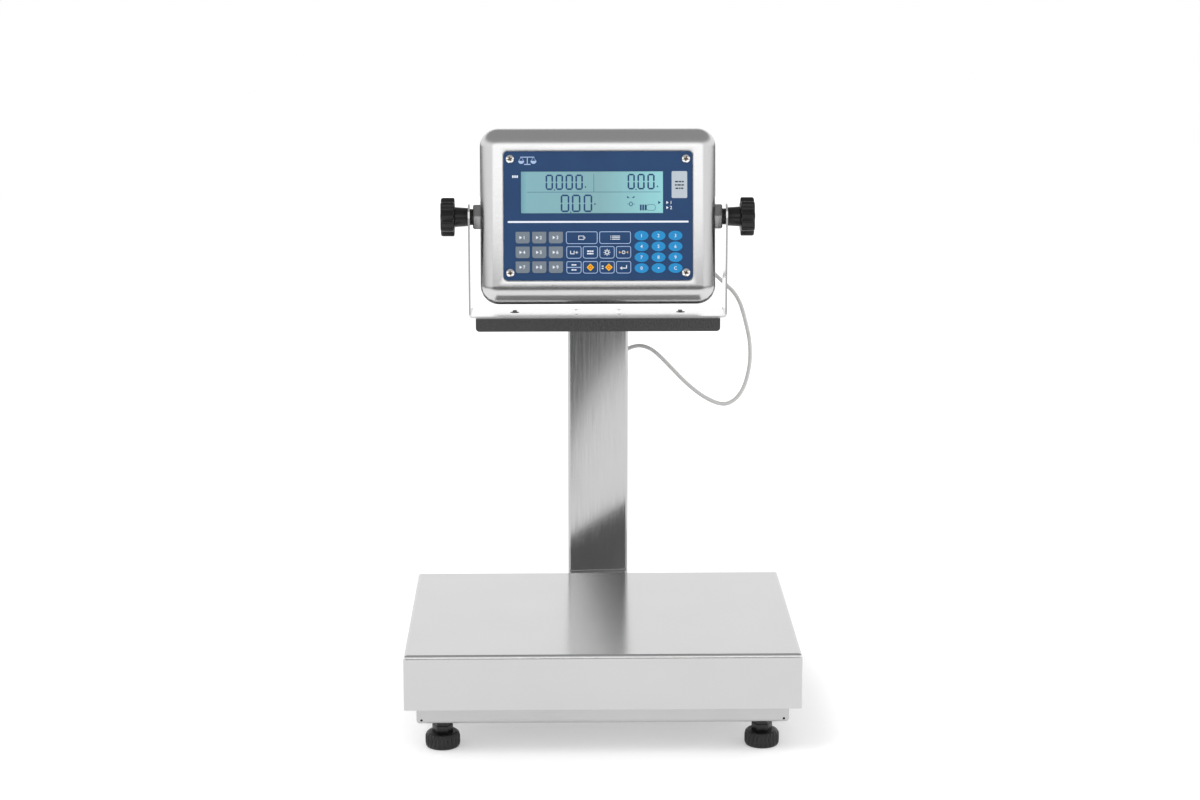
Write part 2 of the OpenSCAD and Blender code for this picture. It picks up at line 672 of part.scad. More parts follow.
base_tray();
load_cell();
hex_bolts();
platter_support();
support_buffers();
platter();
column_bracket();
column();
head_plate();
u_bracket();
bracket_screws();
front_shell();
gasket();
rear_shell();
overlay();
pan_screws();
lcd_module();
main_board();
pivot_washers();
knob_left();
knob_right();
indicator_gland();
column_gland();
cable();
lock_nuts();
for (f = FEET) foot(f[1]);
for (k = KEYS) key(k);
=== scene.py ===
"""Looks of the bench scale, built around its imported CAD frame.

Every mesh is drawn in millimetres in one of four local frames and then placed in the frame's metres:
PLATFORM stands on the floor below the pan's middle and COLUMN below the column's, with Z up. AXIS sits at
the middle of the tilt axis, with Z up. CASE sits there too, but leans back with the indicator, with Y up its
face and Z out of it towards the operator.
"""
import json
import math

import bmesh
import bpy
from mathutils import Matrix, Vector


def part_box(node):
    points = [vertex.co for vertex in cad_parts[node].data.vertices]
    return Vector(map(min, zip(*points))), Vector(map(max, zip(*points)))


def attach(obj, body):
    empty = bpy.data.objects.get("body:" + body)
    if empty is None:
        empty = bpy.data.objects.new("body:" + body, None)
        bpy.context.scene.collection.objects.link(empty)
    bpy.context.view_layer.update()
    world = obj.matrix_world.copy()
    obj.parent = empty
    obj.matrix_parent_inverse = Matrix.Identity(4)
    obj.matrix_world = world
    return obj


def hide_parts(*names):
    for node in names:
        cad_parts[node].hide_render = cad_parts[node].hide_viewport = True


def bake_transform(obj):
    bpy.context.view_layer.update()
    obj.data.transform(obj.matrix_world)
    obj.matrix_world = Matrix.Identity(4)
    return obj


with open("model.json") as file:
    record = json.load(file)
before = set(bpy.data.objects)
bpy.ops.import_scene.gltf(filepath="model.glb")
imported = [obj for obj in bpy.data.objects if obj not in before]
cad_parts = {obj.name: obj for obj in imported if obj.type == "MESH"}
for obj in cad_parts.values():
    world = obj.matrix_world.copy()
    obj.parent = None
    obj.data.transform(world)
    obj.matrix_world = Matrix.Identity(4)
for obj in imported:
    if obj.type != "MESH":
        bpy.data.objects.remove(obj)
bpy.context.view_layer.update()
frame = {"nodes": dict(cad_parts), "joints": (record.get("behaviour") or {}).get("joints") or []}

MM = 0.001
NODES = frame["nodes"]
JOINTS = {joint["name"]: joint for joint in frame["joints"]}

# ---- the four local frames ----

axis = Vector(JOINTS["indicator_tilt"]["pos_m"])
depth = Vector(JOINTS["key_0_press"]["axis"]).normalized()
right = Vector((1, 0, 0))
rise = right.cross(depth)
pan_low, pan_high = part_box("platter")
middle = (pan_low + pan_high) / 2

SCALE = Matrix.Scale(MM, 4)
PLATFORM = Matrix.Translation((middle.x, middle.y, 0)) @ SCALE
AXIS = Matrix.Translation(axis) @ SCALE
COLUMN = Matrix.Translation((axis.x, axis.y, 0)) @ SCALE
CASE = Matrix.Translation(axis) @ Matrix((right, rise, -depth)).transposed().to_4x4() @ SCALE


def box_in(place, node):
    """Lowest and highest corner of a CAD node in millimetres, in a local frame."""
    back = place.inverted()
    points = [back @ vertex.co for vertex in NODES[node].data.vertices]
    low = Vector([min(p[i] for p in points) for i in range(3)])
    high = Vector([max(p[i] for p in points) for i in range(3)])
    return low, high


# ---- camera ----

def make_camera():
    """Camera at the height, distance and lens of a product picture taken from slightly left of the middle."""
    data = bpy.data.cameras.new("camera")
    data.lens = 77.3
    data.sensor_width = 36
    data.clip_end = 60
    camera = bpy.data.objects.new("camera", data)
    bpy.context.scene.collection.objects.link(camera)
    camera.location = PLATFORM @ Vector((-47, -2611, 904))
    pitch, yaw = 12.26, 1.02
    camera.rotation_euler = (math.radians(90 - pitch), 0, math.radians(-yaw))
    bpy.context.scene.camera = camera


make_camera()

# ---- meshes ----


def new_piece(name, bm, place, materials, smooth_below=35):
    """Object from a mesh drawn in a local frame, smooth except at edges sharper than the angle."""
    bmesh.ops.recalc_face_normals(bm, faces=bm.faces)
    bm.transform(place)
    mesh = bpy.data.meshes.new(name)
    bm.to_mesh(mesh)
    bm.free()
    for material in materials:
        mesh.materials.append(material)
    mesh.polygons.foreach_set("use_smooth", [True] * len(mesh.polygons))
    mesh.set_sharp_from_angle(angle=math.radians(smooth_below))
    piece = bpy.data.objects.new(name, mesh)
    bpy.context.scene.collection.objects.link(piece)
    return piece


def stand_in(piece, body, slot, *nodes):
    """The piece rides on a body and stands for CAD nodes; the slot argument is not used."""
    if nodes:
        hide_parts(*nodes)
    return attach(piece, body)


def arc(cx, cy, r, start, end, steps):
    """Points of an arc, angles in degrees."""
    turn = [math.radians(start + (end - start) * i / steps) for i in range(steps + 1)]
    return [(cx + r * math.cos(a), cy + r * math.sin(a)) for a in turn]


def round_rect(w, h, r, steps=8, low_r=None, cx=0, cy=0):
    """Rectangle with rounded corners; low_r is the radius of its two lower corners."""
    low = r if low_r is None else low_r
    x, y = w / 2, h / 2
    return (arc(cx + x - r, cy + y - r, r, 0, 90, steps) + arc(cx - x + r, cy + y - r, r, 90, 180, steps)
            + arc(cx - x + low, cy - y + low, low, 180, 270, steps)
            + arc(cx + x - low, cy - y + low, low, 270, 360, steps))


def ellipse(w, h, steps=48, cx=0, cy=0):
    """Points of an ellipse, w wide and h high."""
    turn = [2 * math.pi * i / steps for i in range(steps)]
    return [(cx + w / 2 * math.cos(a), cy + h / 2 * math.sin(a)) for a in turn]


def circle(r, steps=48, cx=0, cy=0):
    return ellipse(2 * r, 2 * r, steps, cx, cy)


def lobed(r, dip, lobes, steps, phase=0.0):
    """Circle whose edge dips between its lobes."""
    points = []
    for i in range(lobes * steps):
        a = 2 * math.pi * i / (lobes * steps)
        reach = r - dip * (1 - math.cos(lobes * a + phase)) / 2
        points.append((reach * math.cos(a), reach * math.sin(a)))
    return points


def at_height(outline, z):
    """Outline in the plane at height z."""
    return [(x, y, z) for x, y in outline]


def loft(bm, rings, slot=0, cyclic=False):
    """Skin over rings with the same number of points; its ends are capped unless it is cyclic."""
    loops = [[bm.verts.new(p) for p in ring] for ring in rings]
    pairs = list(zip(loops, loops[1:]))
    if cyclic:
        pairs.append((loops[-1], loops[0]))
    faces = []
    for low, high in pairs:
        for i in range(len(low)):
            j = (i + 1) % len(low)
            faces.append(bm.faces.new((low[i], low[j], high[j], high[i])))
    if not cyclic:
        faces.append(bm.faces.new(loops[0][::-1]))
        faces.append(bm.faces.new(loops[-1]))
    for face in faces:
        face.material_index = slot


def flat(bm, outline, z, slot=0, thickness=0.05):
    """Thin printed shape whose top is at height z."""
    loft(bm, [at_height(outline, z - thickness), at_height(outline, z)], slot)


def band(bm, outer, inner, z, slot=0, thickness=0.05):
    """Thin printed outline between two outlines with the same number of points."""
    low = z - thickness
    rings = [at_height(outer, low), at_height(outer, z), at_height(inner, z), at_height(inner, low)]
    loft(bm, rings, slot, cyclic=True)


def bar(bm, x, y, w, h, z, slot=0):
    """Thin printed rectangle, centred at x, y."""
    flat(bm, [(x - w / 2, y - h / 2), (x + w / 2, y - h / 2), (x + w / 2, y + h / 2), (x - w / 2, y + h / 2)],
         z, slot)


def glyph(bm, text, height, x, y, z, slot=0, weight=0.0):
    """A number from the built-in typeface, centred at x, y."""
    curve = bpy.data.curves.new("glyph", "FONT")
    curve.body = text
    curve.size = height / 0.73
    curve.offset = weight
    curve.extrude = 0.025
    curve.resolution_u = 3
    maker = bpy.data.objects.new("glyph", curve)
    mesh = bpy.data.meshes.new_from_object(maker)
    xs = [v.co.x for v in mesh.vertices]
    ys = [v.co.y for v in mesh.vertices]
    centre = Vector(((min(xs) + max(xs)) / 2, (min(ys) + max(ys)) / 2, 0))
    mesh.transform(Matrix.Translation(Vector((x, y, z - 0.025)) - centre))
    known = len(bm.faces)
    bm.from_mesh(mesh)
    bm.faces.ensure_lookup_table()
    for face in bm.faces[known:]:
        face.material_index = slot
    bpy.data.objects.remove(maker)
    bpy.data.curves.remove(curve)
    bpy.data.meshes.remove(mesh)


# ---- materials ----


def finish(name, color, metallic=0.0, roughness=0.5, mottle=0.06, patch=25.0, gloss_spread=0.06,
           grain=600.0, stretch=(1, 1, 1), relief=0.1, relief_depth=0.0001, **sockets):
    """Material with a slightly mottled colour, an uneven gloss and a fine relief.

    patch is how many colour patches fit in a metre, grain how many marks of the relief, and stretch
    scales the relief's coordinates, so that a low number along one axis draws it out into brushing."""
    material = bpy.data.materials.new(name)
    material.use_nodes = True
    nodes, links = material.node_tree.nodes, material.node_tree.links
    shader = nodes["Principled BSDF"]
    shader.inputs["Metallic"].default_value = metallic
    for socket, value in sockets.items():
        shader.inputs[socket.replace("_", " ")].default_value = value
    place = nodes.new("ShaderNodeTexCoord")
    clouds = nodes.new("ShaderNodeTexNoise")
    clouds.inputs["Scale"].default_value = patch
    clouds.inputs["Detail"].default_value = 4
    tint = nodes.new("ShaderNodeValToRGB")
    for stop, share, where in zip(tint.color_ramp.elements, (1 - mottle, 1 + mottle), (0.3, 0.7)):
        stop.position = where
        stop.color = [min(1, c * share) for c in color] + [1]
    mapping = nodes.new("ShaderNodeMapping")
    mapping.inputs["Scale"].default_value = stretch
    marks = nodes.new("ShaderNodeTexNoise")
    marks.inputs["Scale"].default_value = grain
    marks.inputs["Detail"].default_value = 3
    gloss = nodes.new("ShaderNodeMapRange")
    gloss.inputs["From Min"].default_value = 0.3
    gloss.inputs["From Max"].default_value = 0.7
    gloss.inputs["To Min"].default_value = max(0.02, roughness - gloss_spread)
    gloss.inputs["To Max"].default_value = roughness + gloss_spread
    bump = nodes.new("ShaderNodeBump")
    bump.inputs["Strength"].default_value = relief
    bump.inputs["Distance"].default_value = relief_depth
    links.new(place.outputs["Object"], clouds.inputs["Vector"])
    links.new(place.outputs["Object"], mapping.inputs["Vector"])
    links.new(mapping.outputs["Vector"], marks.inputs["Vector"])
    links.new(clouds.outputs["Fac"], tint.inputs["Fac"])
    links.new(tint.outputs["Color"], shader.inputs["Base Color"])
    links.new(marks.outputs["Fac"], gloss.inputs["Value"])
    links.new(gloss.outputs["Result"], shader.inputs["Roughness"])
    links.new(marks.outputs["Fac"], bump.inputs["Height"])
    links.new(bump.outputs["Normal"], shader.inputs["Normal"])
    return material


def linear(red, green, blue):
    """Linear colour from 8-bit sRGB values."""
    return [((c / 255 + 0.055) / 1.055) ** 2.4 if c > 10 else c / 255 / 12.92 for c in (red, green, blue)]


ALONG_X, ALONG_Y, ALONG_Z = (0.02, 1, 1), (1, 0.02, 1), (1, 1, 0.02)

pan_steel = finish("pan_steel", (0.54, 0.54, 0.54), 0.9, 0.17, 0.015, 12, 0.03, 1500, ALONG_X, 0.04, 0.00002)
# Paler, rougher steel for the middle of the pan's bend: a painted highlight.
pan_bend_painted_highlight = finish("pan_bend_painted_highlight", (0.9, 0.9, 0.9), 1, 0.34, 0.02, 20, 0.04, 1500, ALONG_X, 0.04, 0.00002)
tray_steel = finish("tray_steel", (0.5, 0.5, 0.5), 1, 0.34, 0.03, 14, 0.05, 1500, ALONG_X, 0.06, 0.00003)
column_steel = finish("column_steel", (0.5, 0.5, 0.5), 1, 0.125, 0.02, 12, 0.03, 1500, ALONG_Z, 0.03, 0.00002)
# Pale, duller edges of the bracket's lying strip: a painted highlight.
bracket_edge_painted_light = finish("bracket_edge_painted_light", (0.7, 0.7, 0.7), 0.25, 0.5, 0.03, 30, 0.05, 1500, (1, 1, 1), 0.1,
                      0.00003)
# Darker copy of the same edge finish for the bracket's upright edges: painted shade.
bracket_edge_painted_shade = finish("bracket_edge_painted_shade", (0.42, 0.42, 0.42), 0.4, 0.5, 0.03, 30, 0.05, 1500,
                              (1, 1, 1), 0.1, 0.00003)
bracket_steel = finish("bracket_steel", (0.8, 0.8, 0.8), 1, 0.14, 0.02, 15, 0.03, 1200, ALONG_X, 0.02,
                       0.00002)
case_steel = finish("case_steel", (0.6, 0.6, 0.6), 1, 0.225, 0.01, 18, 0.03, 1800, ALONG_X, 0.02, 0.00002)
boss_steel = finish("boss_steel", (0.34, 0.34, 0.34), 1, 0.34, 0.1, 90, 0.08, 900, (1, 1, 1), 0.1)
bolt_steel = finish("bolt_steel", (0.55, 0.55, 0.54), 1, 0.3, 0.08, 90, 0.08, 900, (1, 1, 1), 0.1)
screw_steel = finish("screw_steel", (0.9, 0.89, 0.87), 1, 0.14, 0.04, 200, 0.04, 2000, (1, 1, 1), 0.05,
                     0.00002)
# Dark brown-grey of the cross recess: its brownish tone, darkened as painted shade.
screw_recess_brown_and_shade = finish("screw_recess_brown_and_shade", linear(96, 78, 58), 0.7, 0.5, 0.2, 400, 0.1, 2000)
cell_aluminium = finish("cell_aluminium", (0.7, 0.71, 0.72), 1, 0.35, 0.04, 30, 0.05, 1200, ALONG_Y, 0.15)
cast_aluminium = finish("cast_aluminium", (0.45, 0.46, 0.47), 0.9, 0.5, 0.08, 60, 0.08, 500, (1, 1, 1), 0.4)
head_paint = finish("head_paint", linear(58, 58, 59), 0, 0.27, 0.04, 30, 0.05, 1400, (1, 1, 1), 0.2)
rubber = finish("rubber", linear(30, 30, 31), 0, 0.7, 0.1, 120, 0.08, 1800, (1, 1, 1), 0.4)
knob_plastic = finish("knob_plastic", linear(16, 16, 17), 0, 0.34, 0.1, 80, 0.08, 2200, (1, 1, 1), 0.25,
                      Specular_IOR_Level=0.4)
foot_plastic = finish("foot_plastic", linear(24, 24, 25), 0, 0.3, 0.1, 90, 0.08, 2000, (1, 1, 1), 0.3,
                      Specular_IOR_Level=0.4)
washer_plastic = finish("washer_plastic", linear(14, 14, 14), 0, 0.5, 0.1, 120, 0.08, 2000)
gland_plastic = finish("gland_plastic", linear(110, 112, 114), 0, 0.45, 0.06, 90, 0.08, 2000, (1, 1, 1), 0.25)
cable_jacket = finish("cable_jacket", linear(201, 201, 200), 0, 0.4, 0.04, 60, 0.06, 2500, (1, 1, 1), 0.25)
board_green = finish("board_green", linear(24, 74, 46), 0, 0.45, 0.15, 300, 0.1, 1500)


def film(name, red, green, blue, spread=0.03):
    """Printed polyester film with a fine eggshell texture."""
    return finish(name, linear(red, green, blue), 0, 0.42, spread, 30, 0.04, 2600, (1, 1, 1), 0.1,
                  Specular_IOR_Level=0.2)


panel_film = film("panel_film", 29, 62, 103, 0.05)
key_grey = film("key_grey", 112, 122, 132)
key_blue = film("key_blue", 28, 132, 190)
ink_pale = film("ink_pale", 160, 182, 218)
ink_white = film("ink_white", 222, 228, 238)
ink_yellow = film("ink_yellow", 236, 186, 30)
ink_orange = film("ink_orange", 222, 98, 12)
ink_dark = film("ink_dark", 46, 52, 62)
plate_paper = film("plate_paper", 176, 186, 194)
lcd_mark = film("lcd_mark", 32, 66, 106)


def make_lcd_glass(name, left, right_x):
    """Reflective liquid-crystal teal, with a painted bezel shadow on its left edge and paler green to the
    right.
    """
    material = finish(name, linear(119, 162, 168), 0, 0.24, 0.02, 40, 0.03, 2200, (1, 1, 1), 0.05,
                      Specular_IOR_Level=0.3)
    nodes, links = material.node_tree.nodes, material.node_tree.links
    place = nodes["Texture Coordinate"]
    split = nodes.new("ShaderNodeSeparateXYZ")
    across = nodes.new("ShaderNodeMapRange")
    across.inputs["From Min"].default_value = left
    across.inputs["From Max"].default_value = right_x
    ramp = nodes.new("ShaderNodeValToRGB")
    ramp.color_ramp.elements.new(0.06)
    ramp.color_ramp.elements.new(0.55)
    # The darker first stop paints the bezel's shadow on the left edge; the last stop is paler green.
    shades = (linear(84, 142, 158), linear(118, 164, 173), linear(119, 162, 168), linear(136, 197, 202))
    for stop, shade, where in zip(ramp.color_ramp.elements, shades, (0, 0.06, 0.55, 1)):
        stop.position = where
        stop.color = shade + [1]
    links.new(place.outputs["Object"], split.inputs["Vector"])
    links.new(split.outputs["X"], across.inputs["Value"])
    links.new(across.outputs["Result"], ramp.inputs["Fac"])
    links.new(ramp.outputs["Color"], nodes["Principled BSDF"].inputs["Base Color"])
    return material


def bow(material, top, lean, turn):
    """Leans the shading normal, as on a face that is very slightly bowed and twisted below a height.

    The lean grows downwards from top, by lean plus turn times X."""
    nodes, links = material.node_tree.nodes, material.node_tree.links

    def math_node(kind, first, second):
        node = nodes.new("ShaderNodeMath")
        node.operation = kind
        for socket, value in zip(node.inputs, (first, second)):
            if isinstance(value, bpy.types.NodeSocket):
                links.new(value, socket)
            else:
                socket.default_value = value
        return node.outputs["Value"]

    split = nodes.new("ShaderNodeSeparateXYZ")
    links.new(nodes["Texture Coordinate"].outputs["Object"], split.inputs["Vector"])
    across = math_node("ADD", math_node("MULTIPLY", split.outputs["X"], turn), lean)
    amount = math_node("MULTIPLY", math_node("SUBTRACT", top, split.outputs["Z"]), across)
    tilt = nodes.new("ShaderNodeCombineXYZ")
    surface = nodes.new("ShaderNodeNewGeometry")
    add = nodes.new("ShaderNodeVectorMath")
    unit = nodes.new("ShaderNodeVectorMath")
    unit.operation = "NORMALIZE"
    links.new(amount, tilt.inputs["Z"])
    links.new(surface.outputs["Normal"], add.inputs[0])
    links.new(tilt.outputs["Vector"], add.inputs[1])
    links.new(add.outputs["Vector"], unit.inputs[0])
    links.new(unit.outputs["Vector"], nodes["Bump"].inputs["Normal"])


bow(column_steel, top=0.47, lean=0.1, turn=-3.4)

# ---- cable ----

cable_r = 2.2
# The free cable's route from the indicator's gland to the column's gland, in the column's frame
CABLE_ROUTE = [
    (95, 52, 451), (95.5, 61, 449.3), (99.5, 70, 447), (108, 75, 443.5), (118, 75, 438.5),
    (127.5, 71, 432), (136, 66.5, 425), (145.8, 64, 416), (154.7, 62, 407), (161.7, 60.5, 394),
    (167.2, 59, 375), (171.2, 58, 357), (172.6, 57, 340), (171.4, 55.5, 323), (166.6, 54, 304),
    (159.4, 53, 291.3), (151, 52, 284.6), (141.8, 51, 282.6), (129.7, 49.5, 286.5), (115.7, 48, 295),
    (100.2, 47, 308), (85.2, 46, 323.5), (71.3, 45.5, 338), (60.2, 46, 347), (49.2, 47, 350.5),
    (40, 49, 349), (32, 51.5, 345), (24, 53.5, 341.5), (16, 52.5, 339.2), (10, 48, 338.2), (8, 41, 338),
    (8, 34, 338)]


def smooth_curve(route, steps):
    """Smooth curve through the route's points."""
    points = [Vector(p) for p in route]
    ends = [2 * points[0] - points[1]] + points + [2 * points[-1] - points[-2]]
    curve = []
    for a, b, c, d in zip(ends, ends[1:], ends[2:], ends[3:]):
        for i in range(steps):
            t = i / steps
            curve.append(b + t * (c - a) / 2 + t * t * (2 * a - 5 * b + 4 * c - d) / 2
                         + t ** 3 * (3 * b - a - 3 * c + d) / 2)
    return curve + [points[-1]]


def make_cable():
    """Cable from the indicator's gland to the column's."""
    curve = smooth_curve(CABLE_ROUTE, 5)
    side = Vector((0, 0, 1))
    rings = []
    for i, point in enumerate(curve):
        ahead = (curve[min(i + 1, len(curve) - 1)] - curve[max(i - 1, 0)]).normalized()
        side = (side - side.dot(ahead) * ahead).normalized()
        other = ahead.cross(side)
        rings.append([point + cable_r * (side * math.cos(a) + other * math.sin(a))
                      for a in [2 * math.pi * j / 16 for j in range(16)]])
    bm = bmesh.new()
    loft(bm, rings)
    cable = new_piece("cable_jacket", bm, COLUMN, [cable_jacket])
    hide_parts("cable")
    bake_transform(cable)


make_cable()

# ---- platform ----


def folded_tray(w, d, low, high, bend, sheet, corner, steps=8):
    """Rings of a sheet folded down from a flat top at height high: the outside, then the inside.

    An extra ring beside the bend, below it and on the top, keeps the flat faces' shading flat."""
    beside, least_r = 0.4, 0.3
    rings = [at_height(round_rect(w, d, corner), height) for height in (low, high - bend - beside)]
    for share in range(steps + 1):
        a = math.radians(90 * share / steps)
        inset = bend * (1 - math.cos(a))
        outline = round_rect(w - 2 * inset, d - 2 * inset, max(least_r, corner - inset))
        rings.append(at_height(outline, high - bend + bend * math.sin(a)))
    in_from_edge = 2 * (bend + beside)
    rings.append(at_height(round_rect(w - in_from_edge, d - in_from_edge, least_r), high))
    inner = [at_height(round_rect(w - 2 * sheet, d - 2 * sheet, corner), low)]
    for share in range(steps + 1):
        a = math.radians(90 * share / steps)
        inset = sheet + (bend - sheet) * (1 - math.cos(a))
        outline = round_rect(w - 2 * inset, d - 2 * inset, max(least_r, corner - inset))
        inner.append(at_height(outline, high - bend + (bend - sheet) * math.sin(a)))
    return rings, inner


def make_pan():
    """Weighing pan, with paler, rougher steel on the middle of its bend as a painted highlight."""
    low, high = box_in(PLATFORM, "platter")
    size = high - low
    bend, sheet, corner = 4, 1.5, 3
    lowest_rise, highest_rise = 0.17, 0.64
    bm = bmesh.new()
    outside, inside = folded_tray(size.x, size.y, low.z, high.z, bend, sheet, corner)
    loft(bm, inside[::-1] + outside)
    bm.normal_update()
    bmesh.ops.recalc_face_normals(bm, faces=bm.faces)
    # Faces on the middle of the bend take the paler steel, the painted highlight.
    for face in bm.faces:
        if lowest_rise < face.normal.z < highest_rise:
            face.material_index = 1
    pan = new_piece("weighing_pan", bm, PLATFORM, [pan_steel, pan_bend_painted_highlight])
    stand_in(pan, "platter", "pan_steel", "platter")


make_pan()

# ---- indicator case ----

SEAM = -20
FRONT = 33
REAR = -42
case_low, case_high = box_in(CASE, "rear_shell")
case_w, case_h = case_high.x - case_low.x, case_high.y - case_low.y
case_r = 20
case_sheet = 1.5
film_low, film_high = box_in(CASE, "overlay")
film_w, film_h = film_high.x - film_low.x, film_high.y - film_low.y
film_z = film_high.z


def rolled_rings(w, h, r, roll, z_open, z_closed, steps=14):
    """Rings from the open edge of a deep-drawn shell to the rim of its flat face."""
    way = 1 if z_closed > z_open else -1
    rings = [at_height(round_rect(w, h, r, 14), z_open)]
    for i in range(steps + 1):
        a = math.radians(90 * i / steps)
        inset = roll * (1 - math.cos(a))
        outline = round_rect(w - 2 * inset, h - 2 * inset, max(0.5, r - inset), 14)
        rings.append(at_height(outline, z_closed - way * roll * (1 - math.sin(a))))
    return rings


def make_front_shell():
    """Deep-drawn front with the keypad's recess and window, and a welded boss on each side."""
    roll = 19
    bm = bmesh.new()
    outside = rolled_rings(case_w, case_h, case_r, roll, SEAM, FRONT)
    inside = rolled_rings(case_w - 2 * case_sheet, case_h - 2 * case_sheet, case_r - case_sheet,
                          roll - case_sheet, SEAM, FRONT - case_sheet)
    gap, edge, seat = 0.3, 1.0, film_low.z
    dip = []
    for i in range(7):
        a = math.radians(90 * i / 6)
        grow = 2 * (gap + edge * (1 - math.sin(a)))
        outline = round_rect(film_w + grow, film_h + grow, 5 + grow / 2, 14)
        dip.append(at_height(outline, FRONT - edge * (1 - math.cos(a))))
    wall = round_rect(film_w + 2 * gap, film_h + 2 * gap, 5 + gap, 14)
    window_low, window_high = box_in(CASE, "lcd_module")
    cx, cy = (window_low.x + window_high.x) / 2, (window_low.y + window_high.y) / 2
    window = round_rect(156, 47.8, 0.5, 14, cx=cx, cy=cy)
    under = round_rect(film_w + 5, film_h + 5, 7, 14)
    dip += [at_height(wall, seat), at_height(window, seat), at_height(window, seat - 1.5),
            at_height(under, seat - 1.5), at_height(under, FRONT - case_sheet)]
    loft(bm, outside + dip + inside[::-1], cyclic=True)
    shell = new_piece("case_front", bm, CASE, [case_steel])
    stand_in(shell, "indicator", "case_steel", "front_shell")
    boss_r, boss_h = 15.2, box_in(CASE, "front_shell")[1].x - case_w / 2
    for side in (-1, 1):
        bm = bmesh.new()
        profile = [(boss_r, -1.4), (boss_r, boss_h - 1.5), (boss_r - 0.5, boss_h - 0.7),
                   (boss_r - 1.5, boss_h)]
        loft(bm, [at_height([(x, y) for x, y in round_hex(r)], z) for r, z in profile])
        turn = Matrix.Rotation(math.radians(90 * side), 4, "Y")
        place = CASE @ Matrix.Translation((side * case_w / 2, 0, 0)) @ turn
        boss = new_piece(f"pivot_boss_{'left' if side < 0 else 'right'}", bm, place, [boss_steel])
        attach(boss, "indicator")


def round_hex(r, corner=1.2, steps=3):
    """Hexagon whose corners reach radius r and are slightly rounded."""
    points = []
    reach = r - corner / math.cos(math.radians(30))
    for k in range(6):
        a = math.radians(60 * k)
        points += arc(reach * math.cos(a), reach * math.sin(a), corner, 60 * k - 30, 60 * k + 30, steps)
    return points


def make_rear_shell():
    """Deep-drawn rear cover below the seam."""
    start, roll = SEAM - 1.5, 9
    bm = bmesh.new()
    outside = rolled_rings(case_w, case_h, case_r, roll, start, REAR)
    inside = rolled_rings(case_w - 2 * case_sheet, case_h - 2 * case_sheet, case_r - case_sheet,
                          roll - case_sheet, start, REAR + case_sheet)
    loft(bm, inside[::-1] + outside)
    shell = new_piece("case_rear", bm, CASE, [case_steel])
    stand_in(shell, "indicator", "case_steel", "rear_shell")


make_front_shell()
make_rear_shell()

# ---- display ----


def hexagon_bar(bm, x, y, length, width, upright, z):
    """One liquid-crystal segment with pointed ends."""
    half, tip = length / 2, width / 2
    points = [(-half, 0), (-half + tip, -tip), (half - tip, -tip), (half, 0), (half - tip, tip),
              (-half + tip, tip)]
    if upright:
        points = [(-q, p) for p, q in points]
    flat(bm, [(x + p, y + q) for p, q in points], z, 1)


def zero(bm, x, y, w, h, z):
    """The figure 0 of a seven-segment display."""
    stroke = 1.8
    gap = 0.3
    for end in (-1, 1):
        hexagon_bar(bm, x, y + end * (h - stroke) / 2, w - stroke - gap, stroke, False, z)
        for side in (-1, 1):
            hexagon_bar(bm, x + side * (w - stroke) / 2, y + end * (h - stroke) / 4, (h - stroke) / 2 - gap,
                        stroke, True, z)


def make_display():
    """Display glass with its dark figures, lines and signs."""
    low, high = box_in(CASE, "lcd_module")
    glass = make_lcd_glass("lcd_glass", low.x * MM, high.x * MM)
    cx, cy = (low.x + high.x) / 2, (low.y + high.y) / 2
    top = high.z
    bm = bmesh.new()
    window = round_rect(153, 44.8, 0.6, 4, cx=cx, cy=cy)
    frame_line = round_rect(160, 54, 1, 4, cx=cx, cy=cy)
    loft(bm, [at_height(frame_line, low.z), at_height(frame_line, low.z + 8), at_height(window, low.z + 8),
              at_height(window, top)])
    mark_z = top + 0.04
    for x in (-52.4, -41.6, -30.9, -20.3):
        zero(bm, x, 36.2, 8.1, 16.6, mark_z)
    for x in (35.8, 46.4, 57.1):
        zero(bm, x, 36.7, 7.9, 16.9, mark_z)
    for x in (-35.6, -23.6, -10.9):
        zero(bm, x, 13.5, 9.3, 18.9, mark_z)
    for x, y in ((-47, 28), (41, 28.3), (-29.5, 4)):
        flat(bm, circle(0.7, 12, x, y), mark_z, 1)
    bar(bm, -4.5, 25.6, 144, 0.4, mark_z, 1)
    bar(bm, -4.5, 35.4, 0.4, 19.2, mark_z, 1)
    for side in (-1, 1):
        flat(bm, [(35.2 - side * 1, 19.2), (35.2 - side * 4, 21.4), (35.2 - side * 4, 19.2)], mark_z, 1)
        bar(bm, 35.4 - side * 3.2, 12.7, 1.4, 0.6, mark_z, 1)
    band(bm, ellipse(4, 5, 24, 35.4, 12.7), ellipse(2.6, 3.6, 24, 35.4, 12.7), mark_z, 1)
    band(bm, round_rect(10, 6.6, 2.6, 6, cx=57, cy=8.9), round_rect(9.2, 5.8, 2.2, 6, cx=57, cy=8.9),
         mark_z, 1)
    for x in (46, 48.6, 51.2):
        bar(bm, x, 8.9, 1.9, 6.2, mark_z, 1)
    flat(bm, [(64.8, 12.4), (67.6, 14.2), (64.8, 16)], mark_z, 1)
    for x, y in ((-13.5, 31), (64, 31.4), (-3.4, 12.6)):
        bar(bm, x, y, 1.4, 1.6, mark_z, 1)
    piece = new_piece("display", bm, CASE, [glass, lcd_mark])
    stand_in(piece, "indicator", "lcd_glass", "lcd_module")


make_display()

# ---- keypad ----

PROUD = 0.3
LEGEND = 0.04


def cap(bm, outline_of):
    """Embossed film cap with a soft edge; outline_of(grow) gives its outline."""
    base, top = film_low.z + 1, film_z + PROUD
    loft(bm, [at_height(outline_of(0.3), base), at_height(outline_of(0.3), top - 0.25),
              at_height(outline_of(0.22), top - 0.08), at_height(outline_of(0.02), top)])


